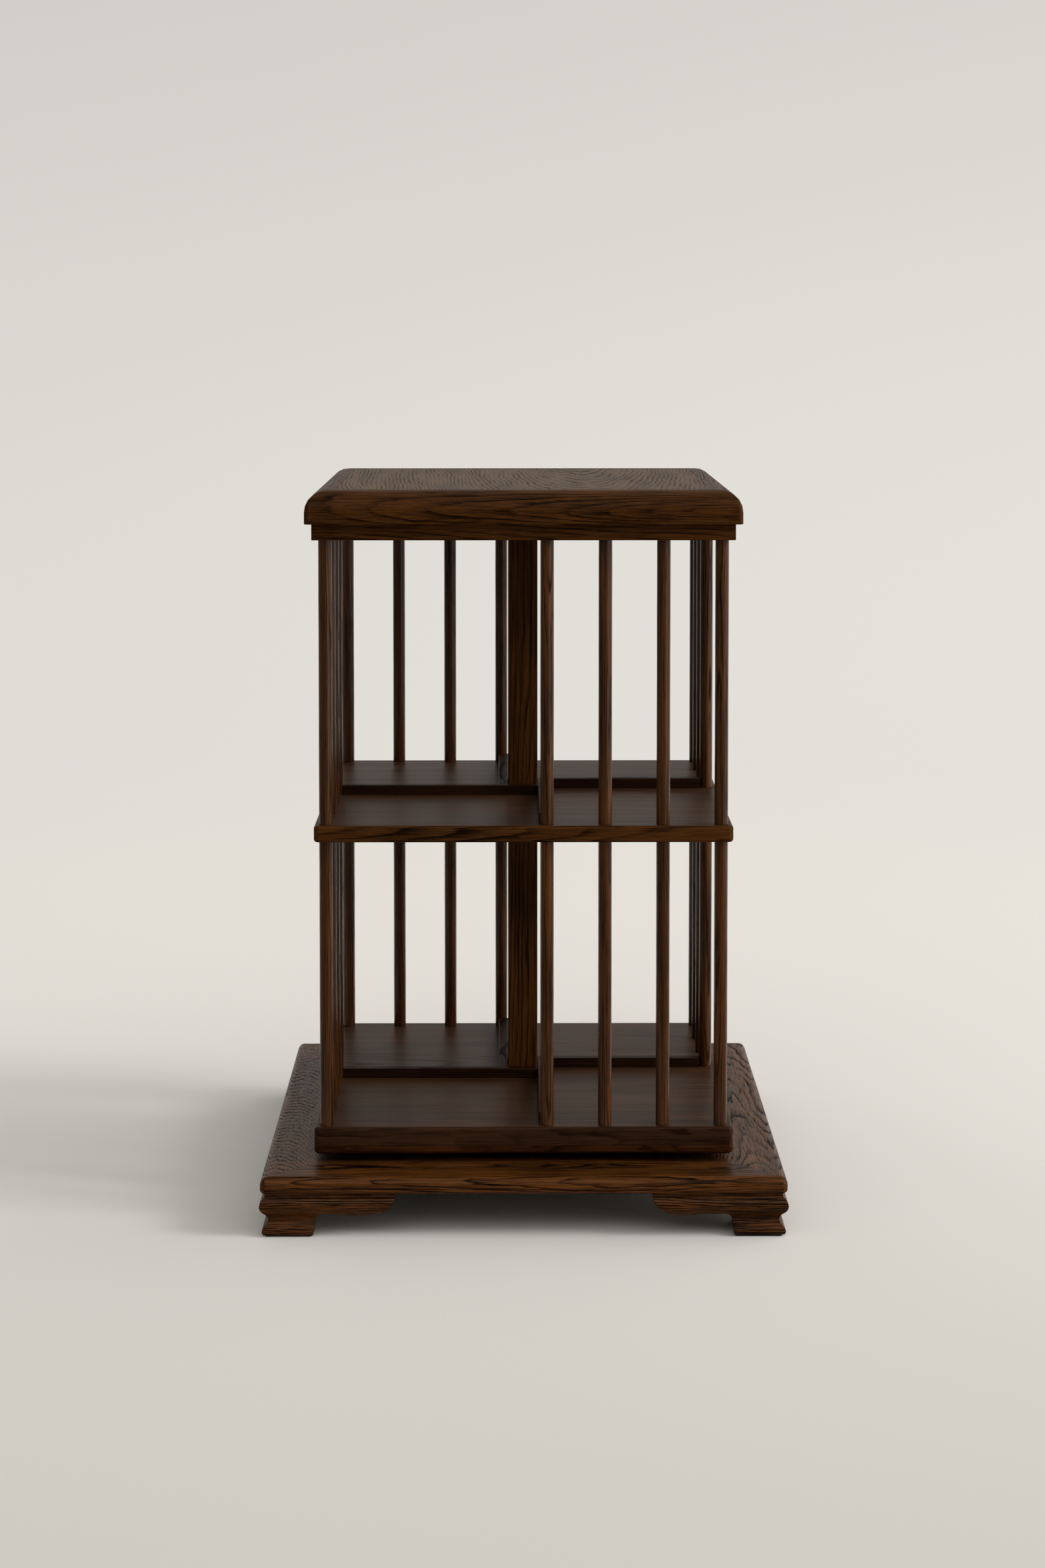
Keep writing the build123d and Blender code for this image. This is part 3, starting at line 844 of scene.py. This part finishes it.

# darker than the case's wood: partly a darker stain, and partly painted shade on faces that stand
# in shadow
batten_ash_stain_and_painted_shade = stained_wood(
    "batten_ash_stain_and_painted_shade",
    pale=(0.030, 0.011, 0.0035),
    dark=(0.006, 0.0025, 0.0012),
    lacquer=(0.6, 0.40, 1.2),
)
for tier in ("lower", "upper"):
    low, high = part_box(f"{tier}_batten_front")
    for side, side_name in enumerate(SIDES):
        name = f"{tier}_batten_{side_name}"
        lath = board(f"{name}_lath", low, high, 0.4 * mm, 0.1 * mm, 0.9 * mm, side)
        along = turned((0, 1, 0), side)
        aside = rng.uniform(0.0, 0.03)
        lay_grain(lath, along, (0, 0, 1), 0.04, aside, lean=0.01, start=rng.uniform(0, 9))
        fit(lath, name, batten_ash_stain_and_painted_shade)
    print(tier, "front batten", [round(v / mm, 1) for v in (*low, *high)])

# %% [markdown]
# The spindles are plain dowels, and the case's glossiest parts. A cylinder is too perfect: light
# runs down it in one straight line. A turned dowel is never quite even, so its radius wavers by a
# few hundredths of a millimetre along its length, and never past the CAD dowel's. Each has its
# own place in the log, and is turned its own way.


# %% Spindles
def dowel(name, centre, radius, levels, around=28):
    """Circles of radius r (1 - a - b + a sin(slow z + p) + b sin(quick z + q)), stacked up.

    The waves a and b are shares of the radius, z is the level, and p and q start them anywhere.
    """
    angle = np.linspace(0, 2 * np.pi, around, endpoint=False)
    p, q = rng.uniform(0, 6, 2)
    a, b = 0.004, 0.003
    slow, quick = 31, 83
    ripple = a * np.sin(levels * slow + p) + b * np.sin(levels * quick + q)
    r = (radius * (1 - a - b + ripple))[:, None]
    x = centre[0] + r * np.cos(angle)
    y = centre[1] + r * np.sin(angle)
    z = np.broadcast_to(levels[:, None], x.shape)
    return skin(name, np.stack((x, y, z), axis=-1))


spindle_ash = stained_wood(
    "spindle_ash",
    pale=(0.093, 0.0305, 0.0048),
    dark=(0.011, 0.0038, 0.0008),
    lacquer=(1.0, 0.22, 1.38),
    ring_gap=0.0016,
    streak=1.1,
)
for side_name in SIDES:
    for place in ("centre", "inner", "outer", "corner"):
        node = f"spindle_{side_name}_{place}"
        low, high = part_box(node)
        centre = ((low.x + high.x) / 2, (low.y + high.y) / 2)
        radius = (high.x - low.x) / 2
        rod = dowel(f"{node}_rod", centre, radius, np.linspace(low.z, high.z, 61))
        turn = rng.uniform(0, 2 * np.pi)
        show = (math.cos(turn), math.sin(turn), 0)
        depth = rng.uniform(0.02, 0.05)
        aside = rng.uniform(0, 0.03)
        lay_grain(rod, (0, 0, 1), show, depth, aside, lean=0.004, start=turn)
        fit(rod, node, spindle_ash)
print("spindle radius", round(radius / mm, 2), "vertices", len(rod.data.vertices))

# %% [markdown]
# The swivel is pressed from zinc-plated sheet, and its balls run in a nylon cage. Zinc shows cells
# of slightly different grey. A Voronoi texture would draw them with hard borders, and soft
# noise suits these small, dull plates better. Their CAD shapes are right, so they stay, and
# only their material slots change. These finishes read Object coordinates.


# %% Plated steel
def plated_steel(name, colour, rough, cells):
    """The colour and its shade, mixed by cells of noise, which also dull the gloss.

    Cells is how many of them go into a metre.
    """
    steel = Finish(name)
    place = steel.lay("ShaderNodeTexCoord").outputs["Object"]
    bloom = steel.noise(place, (cells,) * 3, detail=4.0, rough=0.6)
    fine = steel.noise(place, (3000.0,) * 3, detail=2.0)
    shade = tuple(c * 0.6 for c in colour)
    sockets = {
        "Base Color": steel.mix(bloom.ramp(0.3, 0.7), (*shade, 1), (*colour, 1)),
        "Roughness": rough + 0.15 * bloom,
        "Metallic": 1.0,
        "Normal": steel.relief(fine, depth=0.02 * mm),
    }
    return steel.surface(sockets)


FINISHES = {
    "zinc_steel": plated_steel("zinc_plate", (0.62, 0.62, 0.60), rough=0.28, cells=260.0),
    "ball_steel": plated_steel("polished_steel", (0.75, 0.75, 0.76), rough=0.08, cells=90.0),
    "screw_steel": plated_steel("zinc_screw", (0.55, 0.54, 0.50), rough=0.30, cells=500.0),
}
print("metals", list(FINISHES))

# %% [markdown]
# The cage is natural nylon, and the feet stand on dark pressed felt. Felt could be thousands of
# hairs, but pads of this size under the feet show as a dark, dull line. Both are one
# formula: two shades mixed by fine noise that also lifts the surface, a lot for felt and hardly
# at all for nylon.


# %% Nylon and felt
def soft_matter(name, pale, dark, tufts, rough, depth):
    """Two shades mixed by noise, with so many tufts to the metre, which lifts the surface too."""
    stuff = Finish(name)
    place = stuff.lay("ShaderNodeTexCoord").outputs["Object"]
    tuft = stuff.noise(place, (tufts,) * 3, detail=4.0, rough=0.65)
    sockets = {
        "Base Color": stuff.mix(tuft.ramp(0.3, 0.7), (*dark, 1), (*pale, 1)),
        "Roughness": rough,
        "Normal": stuff.relief(tuft, depth),
    }
    return stuff.surface(sockets)


FINISHES["cage_nylon"] = soft_matter(
    "natural_nylon",
    pale=(0.75, 0.74, 0.70),
    dark=(0.66, 0.64, 0.58),
    tufts=300,
    rough=0.45,
    depth=0.03 * mm,
)
FINISHES["felt"] = soft_matter(
    "pressed_felt",
    pale=(0.035, 0.030, 0.026),
    dark=(0.010, 0.008, 0.007),
    tufts=1500,
    rough=0.95,
    depth=0.4 * mm,
)
print("finishes", list(FINISHES))

# %% [markdown]
# Glue blocks and the packing board are rough softwood inside the base, and the base panel is a
# plain stained board. They could share the show wood, but their CAD meshes carry no grain
# attribute, and nobody lacquers what doesn't show. So their rings are worked out from Object
# coordinates, round one far heart for all of them.


# %% Sawn wood, and the CAD parts that stay
def sawn_softwood(name, pale, dark, ring_gap=0.0042):
    """Darkness = (what follows the point of distance from the heart / gap) cubed, and fibres."""
    wood = Finish(name)
    place = wood.lay("ShaderNodeTexCoord").outputs["Object"]
    log = wood.lay("ShaderNodeSeparateXYZ", None, {"Vector": place})
    # the heart runs from side to side, 310 mm in front of the axis and 120 mm under the floor
    across = Tone(wood, log.outputs["Y"]) + 0.31
    up = Tone(wood, log.outputs["Z"]) + 0.12
    sway = wood.noise(place, (3.0, 18.0, 18.0)) * 0.01
    part = (((across * across + up * up) ** 0.5 + sway) / ring_gap).fraction()
    fibre = wood.noise(place, (12.0, 500.0, 500.0), detail=3.0, rough=0.6)
    darkness = part**3.0 * 0.7 + fibre * 0.4
    sockets = {
        "Base Color": wood.mix(darkness.ramp(0.1, 1.0), (*pale, 1), (*dark, 1)),
        "Roughness": 0.7 + 0.2 * fibre,
        "Normal": wood.relief(fibre, depth=0.1 * mm),
    }
    return wood.surface(sockets)


FINISHES["plain_wood"] = sawn_softwood(
    "sawn_softwood", pale=(0.42, 0.29, 0.17), dark=(0.24, 0.14, 0.07)
)
FINISHES["veneered_board"] = sawn_softwood(
    "stained_board", pale=(0.075, 0.036, 0.017), dark=(0.018, 0.009, 0.005)
)
dressed = []
for name, part in frame["nodes"].items():
    if not part.hide_render:
        part.data.materials.clear()
        part.data.materials.append(FINISHES[SLOT_OF[name]])
        dressed.append(name)
print("CAD parts that stay", sorted(dressed))

# %% [markdown]
# The studio is a pale seamless sweep: a floor that curves up into a wall. A plane with a bent edge
# has one good side, and the bookcase is looked at from all sides, so the sweep is round:
# circles on the floor, a cove and a wall, all about the axis.


# %% Seamless sweep
def sweep_rings(hub=0.02, flat=3.4, cove=1.4, wall=5.0, around=96):
    """Circles of growing radius on the floor, a quarter-circle cove, then a wall."""
    turn = np.linspace(0, np.pi / 2, 14)[1:]
    floor = np.r_[hub, np.linspace(0.2, flat, 17)]
    radius = np.r_[floor, flat + cove * np.sin(turn), flat + cove]
    level = np.r_[np.zeros(floor.size), cove * (1 - np.cos(turn)), wall]
    angle = np.linspace(0, 2 * np.pi, around, endpoint=False)
    x = radius[:, None] * np.cos(angle)
    y = radius[:, None] * np.sin(angle)
    return np.stack((x, y, np.broadcast_to(level[:, None], x.shape)), axis=-1)


sweep = skin("studio_sweep", sweep_rings()[:, ::-1], closed=False)
print("sweep vertices", len(sweep.data.vertices))

# %% [markdown]
# The sweep is a warm pale grey, with light and shade painted on it: lighter behind the object
# than in front of it, lighter on the right, and darker high up. More lamps could light it so, but
# they would light the bookcase too. So only the floor near the bookcase is a real surface, which
# takes its shadow, and painted shade darkens its colour in front. Further out it goes over to
# plain light that the camera and reflections see, and that the sky's light passes through. The
# studio was dark in front of the object, so reflections see the floor and the sweep darker there,
# or the lacquer would look grey.


# %% Sweep finish
# painted light and shade: the floor darker in front, the wall darker high up, and the glow darker
# on the left and lighter on the right
FLOOR_PAINTED_SHADE_IN_FRONT = (0.580, 0.567, 0.533, 1)
FLOOR_BEHIND = (0.738, 0.722, 0.687, 1)
WALL_LOW = (0.775, 0.750, 0.705, 1)
WALL_PAINTED_SHADE_HIGH = (0.640, 0.612, 0.575, 1)
PAINTED_SHADE_ON_LEFT = (0.93, 0.93, 0.93, 1)
PAINTED_LIGHT_ON_RIGHT = (1.03, 1.03, 1.03, 1)
UNLIT = (0.0, 0.0, 0.0, 1)


def sweep_finish(near=1.7, beyond=2.7):
    """Diffuse floor out to the radius near, going over by the radius beyond to its own light.

    Floor colour, darker in front as painted shade: from front to behind by y, and for reflections
    in front down to a tenth of it, a painted darkness. Painted light: low to high by z, times left
    to right by x. The camera sees all of it, and reflections a share that grows from a tenth in
    front on the left to 1 behind on the right.
    """
    paper = Finish("studio_paper")
    place = paper.lay("ShaderNodeTexCoord").outputs["Object"]
    axes = paper.lay("ShaderNodeSeparateXYZ", None, {"Vector": place})
    x, y, z = (Tone(paper, axes.outputs[i]) for i in range(3))
    ray = paper.lay("ShaderNodeLightPath")
    kinds = ("Is Camera Ray", "Is Glossy Ray", "Is Transmission Ray")
    by_eye, glossy, through = (Tone(paper, ray.outputs[kind]) for kind in kinds)

    # painted shade: the floor's colour darkens towards the front, and in reflections in front down
    # to a tenth
    behind = y.ramp(-1.2, 0.4)
    floor_paper_and_painted_shade = paper.mix(behind, FLOOR_PAINTED_SHADE_IN_FRONT, FLOOR_BEHIND)
    floor_paper_and_painted_shade = paper.mix(glossy * (1.0 - behind) * 0.9, floor_paper_and_painted_shade, UNLIT)
    floor = paper.lay("ShaderNodeBsdfDiffuse", None, {"Color": floor_paper_and_painted_shade}).outputs[0]

    # painted light on the glow: darker high up, darker on the left and lighter on the right
    wall_paper_and_painted_shade = paper.mix(z.ramp(0.0, 2.6), WALL_LOW, WALL_PAINTED_SHADE_HIGH)
    painted_side_light = paper.mix(x.ramp(-3.0, 3.0), PAINTED_SHADE_ON_LEFT, PAINTED_LIGHT_ON_RIGHT)
    glow_paper_and_painted_light = paper.mix(1.0, wall_paper_and_painted_shade, painted_side_light, "MULTIPLY")
    glow = paper.lay("ShaderNodeEmission", None, {"Color": glow_paper_and_painted_light}).outputs[0]
    clear = paper.lay("ShaderNodeBsdfTransparent").outputs[0]
    mirrored = glossy * (0.1 + 0.9 * (y + 0.9 * x).ramp(-1.0, 3.0))
    seen = by_eye.larger(mirrored).larger(through)
    outer = paper.lay("ShaderNodeMixShader", None, {0: seen, 1: clear, 2: glow}).outputs[0]

    far = ((x * x + y * y) ** 0.5).ramp(near, beyond)
    both = paper.lay("ShaderNodeMixShader", None, {0: far, 1: floor, 2: outer}).outputs[0]
    paper.lay("ShaderNodeOutputMaterial", None, {"Surface": both})
    # the glow is there to be seen, and isn't sampled as a lamp
    paper.material.cycles.emission_sampling = "NONE"
    return paper.material


sweep.data.materials.append(sweep_finish())
print("sweep finish nodes", len(sweep.data.materials[0].node_tree.nodes))

# %% [markdown]
# The photograph's light comes from high up and from the right, with little from low in front. A
# ring of area lamps could do it, but each would show as a patch in the lacquer. A sky whose
# strength depends on its direction is smooth: dim low in front, a little brighter behind,
# bright from the right, and bright from above in front, where it lights the fronts.

# %% Sky
world = bpy.data.worlds.new("studio_sky")
sky = Finish("studio_sky", world)
direction = sky.lay("ShaderNodeTexCoord").outputs["Generated"]
axes = sky.lay("ShaderNodeSeparateXYZ", None, {"Vector": direction})
rightward, backward, upward = (Tone(sky, axes.outputs[i]) for i in range(3))
all_round = 0.10 + 0.14 * backward.ramp(-0.9, 0.3)
from_right = 1.9 * rightward.ramp(0.3, 1.0)
from_above = 0.42 * upward.ramp(0.05, 0.9)
in_front = 1.0 - backward.ramp(-0.9, -0.1)
above_in_front = 1.22 * upward.ramp(0.35, 0.75) * in_front
strength = all_round + from_right + from_above + above_in_front
sockets = {"Color": (1.0, 0.975, 0.94, 1), "Strength": strength}
glow = sky.lay("ShaderNodeBackground", None, sockets).outputs[0]
sky.lay("ShaderNodeOutputWorld", None, {"Surface": glow})
# so smooth a sky needs no map of its bright spots
world.cycles.sampling_method = "NONE"
bpy.context.scene.world = world
print("sky nodes", len(sky.tree.nodes))

# %% [markdown]
# One large soft lamp stands on the right, a little to the front and about 30 degrees up, and throws
# the shadow on the left. A small lamp would give that shadow a hard edge. A wide round one gives
# a shadow that is crisp at the feet and fades with distance, as in the photograph. With the
# sky it lights a level surface to about its written colour.


# %% Lamp
def softbox(name, width, bearing, height, energy, reach=12.0, aim=0.3):
    """A round lamp, aimed at the axis from reach metres off.

    Its place is reach (cos h cos b, -cos h sin b, sin h), above the level that it aims at. The
    bearing b goes from the right towards the front, and the height h upwards, in degrees.
    """
    data = bpy.data.lights.new(name, "AREA")
    data.shape = "DISK"
    data.size = width
    data.energy = energy
    lamp = bpy.data.objects.new(name, data)
    b, h = math.radians(bearing), math.radians(height)
    away = reach * math.cos(h)
    lamp.location = (away * math.cos(b), -away * math.sin(b), reach * math.sin(h) + aim)
    lamp.rotation_euler = (math.radians(90) - h, 0.0, math.radians(90) - b)
    lamp.visible_camera = False
    bpy.context.scene.collection.objects.link(lamp)
    print(name, "at", [round(v, 2) for v in lamp.location])


softbox("soft_lamp", width=3.4, bearing=13.0, height=29.0, energy=605.0)

# %% [markdown]
# The dressed object must stay inside the CAD model's box, because the box is what the next user
# of the part plans with. It could be checked by eye in the viewport. Here the scene is only
# brought up to date, so that every part stands in its final place.

# %% Bring the scene up to date
bpy.context.view_layer.update()
